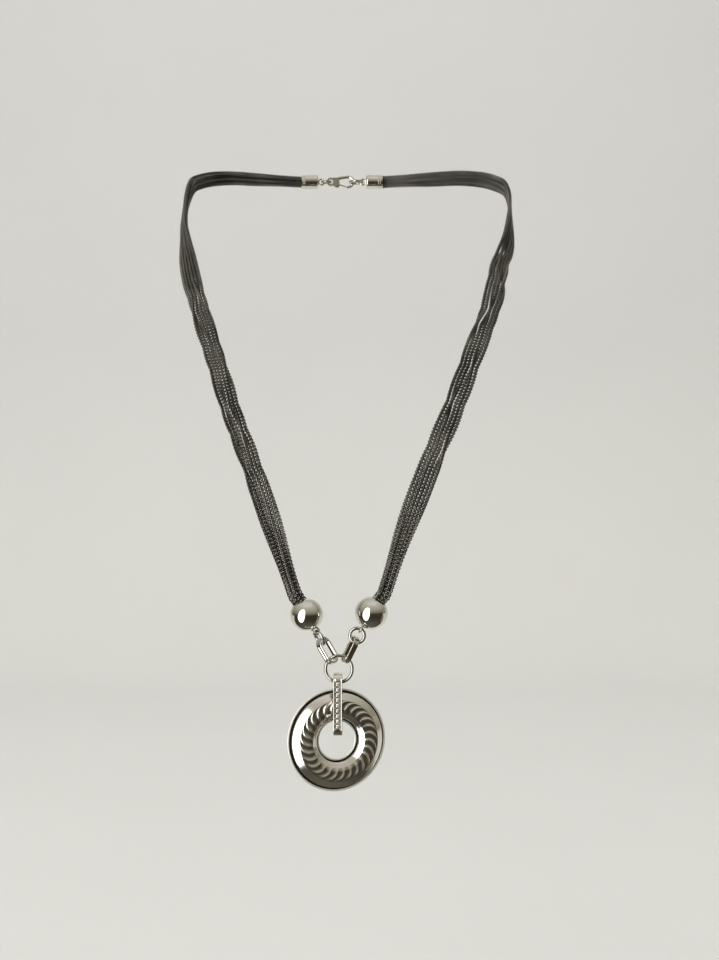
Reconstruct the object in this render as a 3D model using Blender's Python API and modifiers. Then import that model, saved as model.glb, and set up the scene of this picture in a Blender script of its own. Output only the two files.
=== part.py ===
"""Pendant necklace: a domed ring pendant on a stone-set bail, linked to two balls that each hold six
fine chains, which meet in a lobster clasp at the nape.

Metres, +Z up. The wearer faces -Y, and left and right are a viewer's who looks along +Y.
The origin is the centre of the neck, at the height where the chains leave its sides.
"""

import math

import bmesh
import bpy
from mathutils import Matrix, Vector

MM = 0.001
GAP = 0.12 * MM  # between pieces that touch

# Pendant: a turned dome on a thin washer, and the bail through its hole.
PLATE_R = 18.2 * MM
PLATE_HOLE_R = 6.65 * MM
PLATE_T = 0.6 * MM
DOME_PROFILE = (  # radius, height above the dome's flat back, from the outer edge to the inner edge
    (17.2, 0.0), (17.15, 0.7), (16.7, 1.35), (15.7, 2.05), (14.2, 2.65), (12.4, 3.0),
    (10.8, 3.0), (9.4, 2.6), (8.3, 1.9), (7.6, 1.0), (7.5, 0.0),
)
PENDANT_YAW = math.radians(19.0)  # the front turns towards +X
PENDANT_CENTRE_Z = -212.7 * MM
BAIL_CENTRE = Vector((0.3, -92.8, -199.9)) * MM
BAIL_H = 22.0 * MM
BAIL_DEPTH = 7.8 * MM
BAIL_W = 3.1 * MM
BAIL_T = 1.1 * MM
BAIL_CORNER_R = 2.8 * MM
PLATE_BACK_FROM_BAIL = 1.86 * MM  # the washer's back face, behind the bail's middle
CHANNEL_W = 2.1 * MM
CHANNEL_DEPTH = 0.6 * MM
CRYSTALS = 9
CRYSTAL_R = 0.82 * MM
CRYSTAL_PITCH = 1.85 * MM

# Rings and links between the bail and the balls, all in one upright plane.
CHAIN_Y = -92.0 * MM
CENTRE_RING = Vector((0.65 * MM, CHAIN_Y, -187.65 * MM))
CENTRE_RING_R = 4.7 * MM
CENTRE_WIRE_R = 0.6 * MM
SMALL_RING_R = 2.55 * MM
SMALL_WIRE_R = 0.62 * MM
LINK_L = 10.4 * MM
LINK_W = 6.4 * MM
LINK_T = 0.65 * MM
LINK_DEPTH = 2.0 * MM

# Balls: hollow, with the eye pin below and the cup for the chains inside.
BALL_R = 5.8 * MM
BALL_WALL = 0.7 * MM
BALL_MOUTH_R = 2.75 * MM
BALL_PIN_HOLE_R = 1.4 * MM
RING_TO_BALL = 9.35 * MM
EYE_R = 1.25 * MM
EYE_WIRE_R = 0.35 * MM
EYE_PLAY = 0.1 * MM  # between the eye and the ring that hangs in it
SHANK_R = 0.5 * MM
CUP_R = 2.65 * MM
CUP_WALL = 0.5 * MM
CUP_TOP = 4.3 * MM  # above the ball's centre
CUP_FLOOR = -0.6 * MM

# One side of the linkage: places, lean from upright in the plane that faces -Y, and how far each
# piece is turned about its own long axis away from facing -Y.
SIDES = {
    "left": {
        "sign": -1.0,
        "ring_centre": Vector((-6.2, -92.0, -176.7)) * MM,
        "ball_tilt": math.radians(29.0),
        "ring_turn": math.radians(116.0),
        "link_centre": Vector((-3.49, -92.0, -181.18)) * MM,
        "link_tilt": math.radians(30.2),
        "link_turn": math.radians(58.0),
    },
    "right": {
        "sign": 1.0,
        "ring_centre": Vector((7.08, -92.0, -175.85)) * MM,
        "ball_tilt": math.radians(31.9),
        "ring_turn": 0.0,
        "link_centre": Vector((4.59, -92.0, -180.8)) * MM,
        "link_tilt": math.radians(26.0),
        "link_turn": math.radians(-73.0),
    },
}

# Chains: six a side in a flat bundle, in millimetres along the middle of the bundle.
STRANDS = 6
STRAND_R = 0.56 * MM
STRAND_POINTS = 46
STRAND_MIN_PITCH = 1.3 * MM
ROUTE = {
    "left": (
        (-37.0, 47.5, 14.0), (-51.0, 32.5, 11.5), (-59.5, 15.0, 6.5), (-62.7, 0.0, -0.2),
        (-63.5, -14.0, -17.6), (-59.2, -30.0, -38.7), (-52.6, -45.0, -58.6), (-45.8, -57.0, -77.3),
        (-39.7, -67.0, -95.1), (-34.0, -74.0, -109.2), (-27.6, -81.0, -125.6), (-21.8, -86.5, -141.7),
    ),
    "right": (
        (38.0, 47.5, 14.0), (54.0, 32.5, 11.5), (65.0, 15.0, 6.0), (69.9, 0.0, -2.5),
        (68.6, -15.0, -22.8), (63.6, -27.0, -36.0), (59.3, -40.0, -52.5), (50.7, -55.0, -74.0),
        (42.4, -67.0, -95.1), (36.4, -74.0, -108.6), (29.6, -81.0, -125.3), (23.1, -86.5, -141.7),
    ),
}
# Pitch of the chains across the bundle, in millimetres, at a share of the way from nape to ball.
BUNDLE = {
    "left": ((0.0, 0.78), (0.04, 0.78), (0.12, 0.95), (0.3, 0.98), (0.46, 1.32), (0.86, 1.32), (0.955, 0.78),
             (1.0, 0.78)),
    "right": ((0.0, 0.78), (0.04, 0.78), (0.12, 1.0), (0.26, 1.1), (0.38, 1.42), (0.84, 1.4), (0.955, 0.78),
              (1.0, 0.78)),
}
# Where two neighbours change places: start of the crossing, and the first one's place in the row.
CROSSINGS = {
    "left": ((0.47, 1), (0.5, 4), (0.56, 2), (0.6, 0), (0.66, 3), (0.7, 1), (0.755, 4)),
    "right": ((0.4, 3), (0.44, 0), (0.5, 2), (0.53, 4), (0.6, 1), (0.66, 3), (0.73, 0)),
}
CROSSING_SPAN = 0.085
BALL_STRAIGHT = 3.6 * MM  # the chains run straight this far before the ball

# Nape: end caps and the lobster clasp, along the X line through the caps' eyes.
NAPE = Vector((0.0, 57.5, 15.0)) * MM
CAP_MOUTH_X = 18.4 * MM
CAP_L = 7.6 * MM
CAP_R = 3.15 * MM
CAP_BORE_R = 2.65 * MM
CAP_FLOOR_T = 1.0 * MM
CAP_EYE_R = 1.3 * MM
CAP_EYE_WIRE_R = 0.4 * MM
CLASP_RING_R = 2.0 * MM
CLASP_RING_WIRE_R = 0.5 * MM
CATCH_RING_R = 2.9 * MM
CATCH_RING_WIRE_R = 0.6 * MM
CLASP_T = 1.8 * MM
TAIL_R = 1.9 * MM
TAIL_HOLE_R = 1.05 * MM
TAIL_U = 1.9 * MM
TAIL_PLAY = 0.05 * MM  # hole centre past the ring wire
HOOK_R = 0.75 * MM
BOW_CENTRE_U = 9.75 * MM
BOW_R = 2.35 * MM
PIVOT_U = 4.9 * MM
PIVOT_V = -1.0 * MM
LEVER_T = 0.9 * MM
GATE_GAP = 0.25 * MM  # arm end to hook end, closed
SLOT_T = 1.15 * MM
PIN_R = 0.3 * MM
PIN_HOLE_R = 0.36 * MM

STEEL = (0.62, 0.6, 0.57, 1.0)
DARK_STEEL = (0.3, 0.29, 0.28, 1.0)
CRYSTAL = (0.85, 0.85, 0.82, 1.0)


def clear_scene():
    for obj in list(bpy.data.objects):
        bpy.data.objects.remove(obj)


def new_collection(name):
    collection = bpy.data.collections.new(name)
    bpy.context.scene.collection.children.link(collection)
    return collection


def steel(name, colour, roughness):
    material = bpy.data.materials.new(name)
    material.use_nodes = True
    shader = material.node_tree.nodes["Principled BSDF"]
    shader.inputs["Base Color"].default_value = colour
    shader.inputs["Roughness"].default_value = roughness
    shader.inputs["Metallic"].default_value = 0.0 if colour == CRYSTAL else 1.0
    return material


def frame_matrix(place, x_axis, y_axis):
    """A placement whose local X and Y run along two square directions."""
    x_axis, y_axis = x_axis.normalized(), y_axis.normalized()
    z_axis = x_axis.cross(y_axis)
    rotation = Matrix((x_axis, y_axis, z_axis)).transposed().to_4x4()
    return Matrix.Translation(place) @ rotation


def add_mesh(name, mesh, material, matrix=None):
    obj = bpy.data.objects.new(name, mesh)
    obj.data.materials.clear()
    obj.data.materials.append(material)
    PARTS.objects.link(obj)
    if matrix is not None:
        obj.matrix_world = matrix
    return obj


def bmesh_to_mesh(name, build):
    """A mesh made by a function that fills a bmesh."""
    mesh = bpy.data.meshes.new(name)
    bm = bmesh.new()
    build(bm)
    bmesh.ops.recalc_face_normals(bm, faces=bm.faces)
    bm.to_mesh(mesh)
    bm.free()
    mesh.shade_smooth()
    mesh.set_sharp_from_angle(angle=math.radians(40.0))
    return mesh


def evaluated_mesh(obj):
    """The object's mesh with its modifiers or bevel applied, welded; the object is removed."""
    graph = bpy.context.evaluated_depsgraph_get()
    mesh = bpy.data.meshes.new_from_object(obj.evaluated_get(graph))
    bm = bmesh.new()
    bm.from_mesh(mesh)
    bmesh.ops.remove_doubles(bm, verts=bm.verts, dist=1e-7)
    bmesh.ops.recalc_face_normals(bm, faces=bm.faces)
    bm.to_mesh(mesh)
    bm.free()
    bpy.data.objects.remove(obj)
    return mesh


def turned_mesh(name, profile, steps):
    """A closed profile of (radius, height) points, in metres, turned about Z."""
    mesh = bpy.data.meshes.new(name)
    points = [(radius, 0.0, height) for radius, height in profile]
    edges = [(i, (i + 1) % len(points)) for i in range(len(points))]
    mesh.from_pydata(points, edges, [])
    obj = bpy.data.objects.new(name, mesh)
    PARTS.objects.link(obj)
    screw = obj.modifiers.new("turn", "SCREW")
    screw.steps = screw.render_steps = steps
    screw.use_merge_vertices = True
    screw.merge_threshold = 1e-7
    turned = evaluated_mesh(obj)
    turned.shade_smooth()
    turned.set_sharp_from_angle(angle=math.radians(40.0))
    return turned


def torus_mesh(name, major_r, wire_r, major_steps=40, wire_steps=12):
    bpy.ops.mesh.primitive_torus_add(
        major_radius=major_r, minor_radius=wire_r,
        major_segments=major_steps, minor_segments=wire_steps,
    )
    obj = bpy.context.object
    mesh = obj.data
    mesh.name = name
    bpy.data.objects.remove(obj)
    mesh.shade_smooth()
    return mesh


def cylinder_mesh(name, radius, bottom, top, steps=20):
    def build(bm):
        bmesh.ops.create_cone(
            bm, cap_ends=True, segments=steps, radius1=radius, radius2=radius, depth=top - bottom,
            matrix=Matrix.Translation((0.0, 0.0, (top + bottom) / 2)),
        )

    return bmesh_to_mesh(name, build)


def box_mesh(name, low, high):
    centre = (Vector(low) + Vector(high)) / 2
    size = Vector(high) - Vector(low)

    def build(bm):
        placement = Matrix.Translation(centre) @ Matrix.Diagonal(size).to_4x4()
        bmesh.ops.create_cube(bm, size=1.0, matrix=placement)

    return bmesh_to_mesh(name, build)


def tube_object(name, points, radius, bevel_resolution=2):
    """A round tube with filled ends along a line of points."""
    curve = bpy.data.curves.new(name, "CURVE")
    curve.dimensions = "3D"
    curve.bevel_depth = radius
    curve.bevel_resolution = bevel_resolution
    curve.use_fill_caps = True
    spline = curve.splines.new("POLY")
    spline.points.add(len(points) - 1)
    for spot, point in zip(spline.points, points):
        spot.co = (*point, 1.0)
    obj = bpy.data.objects.new(name, curve)
    PARTS.objects.link(obj)
    return obj


def rounded_outline(half_w, half_h, corner_r, arc_steps):
    """Points of a rectangle with round corners, anticlockwise."""
    points = []
    corners = ((1, 1, 0.0), (-1, 1, 90.0), (-1, -1, 180.0), (1, -1, 270.0))
    for side_x, side_y, start in corners:
        centre = Vector((side_x * (half_w - corner_r), side_y * (half_h - corner_r)))
        for step in range(arc_steps + 1):
            angle = math.radians(start + 90.0 * step / arc_steps)
            points.append(centre + corner_r * Vector((math.cos(angle), math.sin(angle))))
    return points


def band_mesh(name, width, height, corner_r, thickness, depth, arc_steps=8):
    """A flat band bent into a closed loop in the local XY plane, as deep as the band along Z."""
    curve = bpy.data.curves.new(name, "CURVE")
    curve.dimensions = "2D"
    curve.fill_mode = "BOTH"
    curve.extrude = depth / 2
    outlines = (
        rounded_outline(width / 2, height / 2, corner_r, arc_steps),
        rounded_outline(width / 2 - thickness, height / 2 - thickness, corner_r - thickness, arc_steps),
    )
    for outline in outlines:
        spline = curve.splines.new("POLY")
        spline.points.add(len(outline) - 1)
        for spot, point in zip(spline.points, outline):
            spot.co = (point.x, point.y, 0.0, 1.0)
        spline.use_cyclic_u = True
    obj = bpy.data.objects.new(name, curve)
    PARTS.objects.link(obj)
    mesh = evaluated_mesh(obj)
    mesh.shade_smooth()
    mesh.set_sharp_from_angle(angle=math.radians(40.0))
    return mesh


def combine(name, mesh, others, operation):
    """Unites a mesh with others, or cuts the others out of it."""
    body = bpy.data.objects.new(name, mesh)
    PARTS.objects.link(body)
    tools = []
    for index, other in enumerate(others):
        tool = bpy.data.objects.new(f"{name}_tool_{index}", other)
        PARTS.objects.link(tool)
        modifier = body.modifiers.new("combine", "BOOLEAN")
        modifier.operation = operation
        modifier.object = tool
        tools.append(tool)
    result = evaluated_mesh(body)
    for tool in tools:
        bpy.data.objects.remove(tool)
    result.shade_smooth()
    result.set_sharp_from_angle(angle=math.radians(40.0))
    return result


def moved(mesh, matrix):
    mesh.transform(matrix)
    return mesh


# ---- pendant and bail ----


def pendant_directions():
    """The pendant's front normal and its sideways direction, both level."""
    front = Vector((math.sin(PENDANT_YAW), -math.cos(PENDANT_YAW), 0.0))
    side = Vector((math.cos(PENDANT_YAW), math.sin(PENDANT_YAW), 0.0))
    return front, side


def make_pendant(material):
    front, side = pendant_directions()
    back = BAIL_CENTRE - PLATE_BACK_FROM_BAIL * front
    back.z = PENDANT_CENTRE_Z
    placement = frame_matrix(back, side, front.cross(side))
    plate_profile = (
        (PLATE_R, PLATE_T), (PLATE_R, 0.0), (PLATE_HOLE_R, 0.0), (PLATE_HOLE_R, PLATE_T),
    )
    dome_base = PLATE_T + GAP
    dome_profile = [(radius * MM, dome_base + height * MM) for radius, height in DOME_PROFILE]
    add_mesh("pendant_back_plate", turned_mesh("plate", plate_profile, 64), material, placement)
    add_mesh("pendant_dome", turned_mesh("dome", dome_profile, 64), material, placement)


def crystal_mesh():
    """An eight-sided cut stone, table up along Z, with its girdle at 0."""
    table_r, table_h = 0.55 * CRYSTAL_R, 0.25 * CRYSTAL_R
    culet_r, culet_h = 0.3 * CRYSTAL_R, -0.5 * CRYSTAL_R
    girdle_h = 0.08 * CRYSTAL_R
    profile = (
        (table_r, table_h), (CRYSTAL_R, girdle_h), (CRYSTAL_R, -girdle_h), (culet_r, culet_h),
    )

    def build(bm):
        rings = []
        for radius, height in profile:
            rings.append([
                bm.verts.new((
                    radius * math.cos(math.radians(45.0 * i + 22.5)),
                    radius * math.sin(math.radians(45.0 * i + 22.5)), height))
                for i in range(8)
            ])
        for upper, lower in zip(rings, rings[1:]):
            for i in range(8):
                bm.faces.new((upper[i], lower[i], lower[(i + 1) % 8], upper[(i + 1) % 8]))
        bm.faces.new(rings[0])
        bm.faces.new(reversed(rings[-1]))

    mesh = bmesh_to_mesh("crystal", build)
    mesh.shade_flat()
    return mesh


def make_bail(material, stone):
    front, side, up = Vector((0.0, -1.0, 0.0)), Vector((1.0, 0.0, 0.0)), Vector((0.0, 0.0, 1.0))
    placement = frame_matrix(BAIL_CENTRE, front, up)  # local Z is the band's depth, sideways
    band = band_mesh("bail", BAIL_DEPTH, BAIL_H, BAIL_CORNER_R, BAIL_T, BAIL_W)
    channel_half = CRYSTALS * CRYSTAL_PITCH / 2
    channel = box_mesh(
        "channel",
        (BAIL_DEPTH / 2 - CHANNEL_DEPTH, -channel_half, -CHANNEL_W / 2),
        (BAIL_DEPTH, channel_half, CHANNEL_W / 2),
    )
    add_mesh("bail_frame", combine("bail", band, [channel], "DIFFERENCE"), material, placement)
    gem = crystal_mesh()
    gem_face = BAIL_CENTRE + (BAIL_DEPTH / 2 - 0.1 * MM) * front
    for index in range(CRYSTALS):
        height = ((CRYSTALS - 1) / 2 - index) * CRYSTAL_PITCH
        spot = frame_matrix(gem_face + height * up, side, front.cross(side))
        add_mesh(f"bail_crystal_{index + 1}", gem, stone, spot)


# ---- rings, links and balls ----


def tilted_up(side, angle):
    """Upright, leaned outwards by an angle in the plane of the picture."""
    return Vector((side["sign"] * math.sin(angle), 0.0, math.cos(angle)))


def turned_frame(place, long_axis, turn):
    """A placement with local Y along long_axis and local Z, which faces -Y at 0, turned about it."""
    facing = Vector((0.0, -1.0, 0.0))
    normal = Matrix.Rotation(turn, 3, long_axis) @ facing
    return frame_matrix(place, long_axis.cross(normal), long_axis)


def make_ring_and_link(name, side, material):
    up = tilted_up(side, side["ball_tilt"])
    ring = torus_mesh("small_ring", SMALL_RING_R, SMALL_WIRE_R, 28, 10)
    add_mesh(f"{name}_ring", ring, material, turned_frame(side["ring_centre"], up, side["ring_turn"]))
    along = tilted_up(side, side["link_tilt"])
    link = band_mesh("link", LINK_W, LINK_L, LINK_W / 2 - 0.01 * MM, LINK_T, LINK_DEPTH, 6)
    add_mesh(f"{name}_link", link, material, turned_frame(side["link_centre"], along, side["link_turn"]))


def ball_profile():
    """Outer arc from the mouth down to the pin hole, then back up inside."""
    inner_r = BALL_R - BALL_WALL
    steps = 10
    outer_start = math.asin(BALL_MOUTH_R / BALL_R)
    outer_end = math.pi - math.asin(BALL_PIN_HOLE_R / BALL_R)
    inner_start = math.pi - math.asin(BALL_PIN_HOLE_R / inner_r)
    inner_end = math.asin(BALL_MOUTH_R / inner_r)
    arcs = ((BALL_R, outer_start, outer_end), (inner_r, inner_start, inner_end))
    profile = []
    for radius, start, end in arcs:
        for i in range(steps + 1):
            angle = start + (end - start) * i / steps
            profile.append((radius * math.sin(angle), radius * math.cos(angle)))
    return profile


def ball_centre(side):
    return side["ring_centre"] + RING_TO_BALL * tilted_up(side, side["ball_tilt"])


def make_ball(name, side, material):
    up = tilted_up(side, side["ball_tilt"])
    centre = ball_centre(side)
    level = up.cross(Vector((0.0, 1.0, 0.0)))
    placement = frame_matrix(centre, level, up.cross(level))
    add_mesh(f"{name}_ball", turned_mesh("ball", ball_profile(), 30), material, placement)
    cup_r = CUP_R + CUP_WALL
    cup = (
        (cup_r, CUP_TOP - 1.6 * MM), (cup_r, CUP_FLOOR - CUP_WALL), (0.0, CUP_FLOOR - CUP_WALL),
        (0.0, CUP_FLOOR), (CUP_R, CUP_FLOOR), (CUP_R, CUP_TOP - 1.6 * MM),
    )
    add_mesh(f"{name}_strand_cup", turned_mesh("cup", cup, 24), material, placement)
    eye_centre = SMALL_RING_R - SMALL_WIRE_R - EYE_WIRE_R - EYE_PLAY + EYE_R - RING_TO_BALL
    eye = torus_mesh("eye", EYE_R, EYE_WIRE_R, 20, 8)
    # The eye's plane is square to the ring that it holds.
    eye.transform(Matrix.Rotation(math.pi / 2, 4, "X"))
    eye.transform(Matrix.Rotation(side["ring_turn"] + math.pi / 2, 4, "Z"))
    eye.transform(Matrix.Translation((0.0, 0.0, eye_centre)))
    shank_top = CUP_FLOOR - CUP_WALL - GAP
    shank = cylinder_mesh("shank", SHANK_R, eye_centre + EYE_R, shank_top)
    head = cylinder_mesh("head", 2 * SHANK_R, shank_top - SHANK_R, shank_top)
    pin = combine("pin", eye, [shank, head], "UNION")
    add_mesh(f"{name}_eye_pin", pin, material, placement)


# ---- chains ----


def smooth_line(points, per_span=16):
    """A smooth curve through all the points, as a fine line of points."""
    points = [2 * points[0] - points[1], *points, 2 * points[-1] - points[-2]]
    line = []
    for a, b, c, d in zip(points, points[1:], points[2:], points[3:]):
        for step in range(per_span):
            t = step / per_span
            line.append(0.5 * (2 * b + t * (c - a) + t * t * (2 * a - 5 * b + 4 * c - d)
                               + t ** 3 * (3 * b - a - 3 * c + d)))
    line.append(points[-2])
    return line


def even_points(line, count):
    """Points at even distances along a fine line."""
    run = [0.0]
    for a, b in zip(line, line[1:]):
        run.append(run[-1] + (b - a).length)
    out, index = [], 0
    for step in range(count):
        goal = run[-1] * step / (count - 1)
        while index < len(run) - 2 and run[index + 1] < goal:
            index += 1
        share = (goal - run[index]) / (run[index + 1] - run[index])
        out.append(line[index].lerp(line[index + 1], min(1.0, share)))
    return out


def bundle_line(name, side):
    """The middle of one side's bundle, from inside the end cap to inside the ball."""
    sign = side["sign"]
    mouth = NAPE + Vector((sign * CAP_MOUTH_X, 0.0, 0.0))
    inward = Vector((-sign, 0.0, 0.0))
    cap_floor = mouth + inward * (CAP_L - CAP_FLOOR_T - 0.3 * MM)
    up = tilted_up(side, side["ball_tilt"])
    centre = ball_centre(side)
    route = [Vector(point) * MM for point in ROUTE[name]]
    line = [cap_floor, mouth, *route]
    line.append(centre + (BALL_R + BALL_STRAIGHT) * up)
    line.append(centre + BALL_R * up)
    line.append(centre + (CUP_FLOOR + 0.3 * MM) * up)
    return smooth_line(line)


def smooth_share(value, low, high):
    share = min(1.0, max(0.0, (value - low) / (high - low)))
    return share * share * (3 - 2 * share)


def keyed(keys, share):
    """A value that goes smoothly from key to key."""
    for (start, first), (end, second) in zip(keys, keys[1:]):
        if share <= end:
            return first + (second - first) * smooth_share(share, start, end)
    return keys[-1][1]


def strand_places(name, share):
    """(across, outward) of each chain in the bundle, in metres, at a share of the way along it."""
    pitch = keyed(BUNDLE[name], share) * MM
    lift = 0.5 * math.sqrt(max(0.0, STRAND_MIN_PITCH ** 2 - pitch ** 2))
    slots = [((i - (STRANDS - 1) / 2) * pitch, lift * (-1) ** i) for i in range(STRANDS)]
    order = list(range(STRANDS))
    spots = dict(enumerate(slots))
    for number, (start, slot) in enumerate(CROSSINGS[name]):
        turn = math.pi * smooth_share(share, start, start + CROSSING_SPAN)
        if turn == 0.0:
            continue
        first, second = order[slot], order[slot + 1]
        middle = (slots[slot][0] + slots[slot + 1][0]) / 2
        arm = (slots[slot][0] - middle, slots[slot][1])
        spin = turn * (-1) ** number
        across = arm[0] * math.cos(spin) - arm[1] * math.sin(spin)
        outward = arm[0] * math.sin(spin) + arm[1] * math.cos(spin)
        spots[first] = (middle + across, outward)
        spots[second] = (middle - across, -outward)
        if turn == math.pi:
            order[slot], order[slot + 1] = second, first
    return [spots[i] for i in range(STRANDS)]


def outward_at(point):
    """Away from the neck at the nape and the sides, and away from the chest in front."""
    around = Vector((point.x, point.y, 0.0)).normalized()
    chest = Vector((0.0, -1.0, 0.25))
    return around.lerp(chest, smooth_share(-point.z, 0.0, 60 * MM))


def strand_lines(name, side, count):
    """A line of points for each chain of one side."""
    middle = even_points(bundle_line(name, side), count)
    lines = [[] for _ in range(STRANDS)]
    for index, point in enumerate(middle):
        ahead = middle[min(index + 1, count - 1)]
        behind = middle[max(index - 1, 0)]
        along = (ahead - behind).normalized()
        across = along.cross(outward_at(point)).normalized()
        out = across.cross(along)
        for line, (u, v) in zip(lines, strand_places(name, index / (count - 1))):
            line.append(point + across * u + out * v)
    return lines


def make_strands(name, side, material):
    for index, line in enumerate(strand_lines(name, side, STRAND_POINTS)):
        tube = tube_object(f"{name}_strand_{index + 1}", line, STRAND_R)
        tube.data.materials.append(material)


# ---- nape ----


def make_end_cap(name, side, material):
    inward = Vector((-side["sign"], 0.0, 0.0))
    mouth = NAPE + Vector((side["sign"] * CAP_MOUTH_X, 0.0, 0.0))
    placement = frame_matrix(mouth, Vector((0.0, 1.0, 0.0)), inward.cross(Vector((0.0, 1.0, 0.0))))
    floor = CAP_L - CAP_FLOOR_T
    profile = (
        (0.0, CAP_L), (CAP_R - 0.8 * MM, CAP_L), (CAP_R, CAP_L - 0.8 * MM), (CAP_R, 0.0),
        (CAP_BORE_R, 0.0), (CAP_BORE_R, floor), (0.0, floor),
    )
    cap = turned_mesh("cap", profile, 24)
    eye = torus_mesh("cap_eye", CAP_EYE_R, CAP_EYE_WIRE_R, 20, 8)
    eye.transform(Matrix.Rotation(math.pi / 2, 4, "Y"))
    eye.transform(Matrix.Translation((0.0, 0.0, CAP_L + CAP_EYE_R)))
    add_mesh(f"{name}_end_cap", combine("cap", cap, [eye], "UNION"), material, placement)


def nape_rings():
    """Centre x of the clasp ring and of the catch ring, and the x where the clasp's tail starts."""
    eye_inner_x = CAP_MOUTH_X - CAP_L - 2 * CAP_EYE_R  # the far wire of each cap's eye
    clasp_ring_x = -eye_inner_x - CAP_EYE_WIRE_R - CLASP_RING_WIRE_R - 0.1 * MM + CLASP_RING_R
    catch_ring_x = eye_inner_x + CAP_EYE_WIRE_R + CATCH_RING_WIRE_R + 0.1 * MM - CATCH_RING_R
    tail_x = clasp_ring_x + CLASP_RING_R + TAIL_PLAY - TAIL_U
    return clasp_ring_x, catch_ring_x, tail_x


def hook_points():
    """The hook's middle line: out along the back, round the bow, and back to its tip."""
    line = [Vector((4.2 * MM, 0.0, 1.3 * MM)), Vector((6.5 * MM, 0.0, 1.9 * MM))]
    for step in range(13):
        angle = math.radians(90.0 - 195.0 * step / 12)
        line.append(Vector((BOW_CENTRE_U + BOW_R * math.cos(angle), 0.0, BOW_R * math.sin(angle))))
    return line


def tip_point():
    return hook_points()[-1]


def make_clasp(tail_x, material):
    placement = Matrix.Translation(NAPE + Vector((tail_x, 0.0, 0.0)))
    flat = Matrix.Rotation(math.pi / 2, 4, "X")
    tail = moved(cylinder_mesh("tail", TAIL_R, -CLASP_T / 2, CLASP_T / 2, 28),
                 Matrix.Translation((TAIL_U, 0.0, 0.0)) @ flat)
    block = box_mesh("block", (TAIL_U + 0.9 * MM, -CLASP_T / 2, PIVOT_V - 0.9 * MM),
                     (PIVOT_U + 0.9 * MM, CLASP_T / 2, 1.9 * MM))
    hook = evaluated_mesh(tube_object("hook", hook_points(), HOOK_R, 3))
    solid = combine("solid", tail, [block, hook], "UNION")
    tail_hole = moved(cylinder_mesh("tail_hole", TAIL_HOLE_R, -CLASP_T, CLASP_T, 24),
                      Matrix.Translation((TAIL_U, 0.0, 0.0)) @ flat)
    slot = box_mesh("slot", (PIVOT_U - 1.5 * MM, -SLOT_T / 2, PIVOT_V - 2.0 * MM),
                    (PIVOT_U + 2.0 * MM, SLOT_T / 2, PIVOT_V + 1.0 * MM))
    pin_hole = moved(cylinder_mesh("pin_hole", PIN_HOLE_R, -CLASP_T, CLASP_T, 16),
                     Matrix.Translation((PIVOT_U, 0.0, PIVOT_V)) @ flat)
    body = combine("body", solid, [tail_hole, slot, pin_hole], "DIFFERENCE")
    add_mesh("clasp_body", body, material, placement)
    make_lever(placement, flat, material)


def make_lever(placement, flat, material):
    pivot = Vector((PIVOT_U, 0.0, PIVOT_V))
    root = moved(cylinder_mesh("root", 0.85 * MM, -LEVER_T / 2, LEVER_T / 2, 24),
                 Matrix.Translation(pivot) @ flat)
    tip = tip_point()
    reach = tip + (pivot - tip).normalized() * GATE_GAP
    arm = evaluated_mesh(tube_object("arm", [pivot + (reach - pivot) * 0.14, reach], 0.45 * LEVER_T, 3))
    thumb = box_mesh("thumb", (-2.0 * MM, -0.42 * LEVER_T, -1.9 * MM), (-0.3 * MM, 0.42 * LEVER_T, -1.0 * MM))
    thumb.transform(Matrix.Translation(pivot + Vector((1.0 * MM, 0.0, 0.35 * MM))))
    solid = combine("lever", root, [arm, thumb], "UNION")
    hole = moved(cylinder_mesh("lever_hole", PIN_HOLE_R, -CLASP_T, CLASP_T, 16),
                 Matrix.Translation(pivot) @ flat)
    add_mesh("clasp_lever", combine("lever", solid, [hole], "DIFFERENCE"), material, placement)
    pin = cylinder_mesh("pin", PIN_R, -CLASP_T / 2, CLASP_T / 2, 16)
    add_mesh("clasp_pin", pin, material, placement @ Matrix.Translation(pivot) @ flat)
    spring_place = pivot + Vector((-1.12 * MM, 0.0, 0.55 * MM))
    spring = [
        Vector((0.2 * MM * math.cos(a), (i / 24 - 0.5) * 0.8 * MM, 0.2 * MM * math.sin(a)))
        for i, a in ((i, i * math.tau / 8) for i in range(25))
    ]
    coil = tube_object("clasp_spring", [spring_place + p for p in spring], 0.07 * MM, 1)
    coil.data.materials.append(material)
    coil.matrix_world = placement


def make_nape(material):
    clasp_ring_x, catch_ring_x, tail_x = nape_rings()
    clasp_ring = torus_mesh("clasp_ring", CLASP_RING_R, CLASP_RING_WIRE_R, 24, 8)
    catch_ring = torus_mesh("catch_ring", CATCH_RING_R, CATCH_RING_WIRE_R, 28, 8)
    add_mesh("clasp_ring", clasp_ring, material, Matrix.Translation(NAPE + Vector((clasp_ring_x, 0.0, 0.0))))
    add_mesh("catch_ring", catch_ring, material, Matrix.Translation(NAPE + Vector((catch_ring_x, 0.0, 0.0))))
    make_clasp(tail_x, material)


def main():
    polished = steel("polished_steel", STEEL, 0.15)
    chain = steel("chain_steel", DARK_STEEL, 0.3)
    stone = steel("crystal", CRYSTAL, 0.05)
    make_pendant(polished)
    make_bail(polished, stone)
    ring = torus_mesh("centre_ring", CENTRE_RING_R, CENTRE_WIRE_R, 40, 10)
    add_mesh("centre_ring", ring, polished, turned_frame(CENTRE_RING, Vector((0.0, 0.0, 1.0)), 0.0))
    for name, side in SIDES.items():
        make_ring_and_link(name, side, polished)
        make_ball(name, side, polished)
        make_strands(name, side, chain)
        make_end_cap(name, side, polished)
    make_nape(polished)


clear_scene()
PARTS = new_collection("pendant_necklace")
main()
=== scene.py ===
"""Pendant necklace: the visible surfaces, materials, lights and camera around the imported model.

Lengths are written in millimetres and turned into metres with MM.
"""

import math

import bpy
import numpy as np
from mathutils import Matrix, Vector


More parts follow.
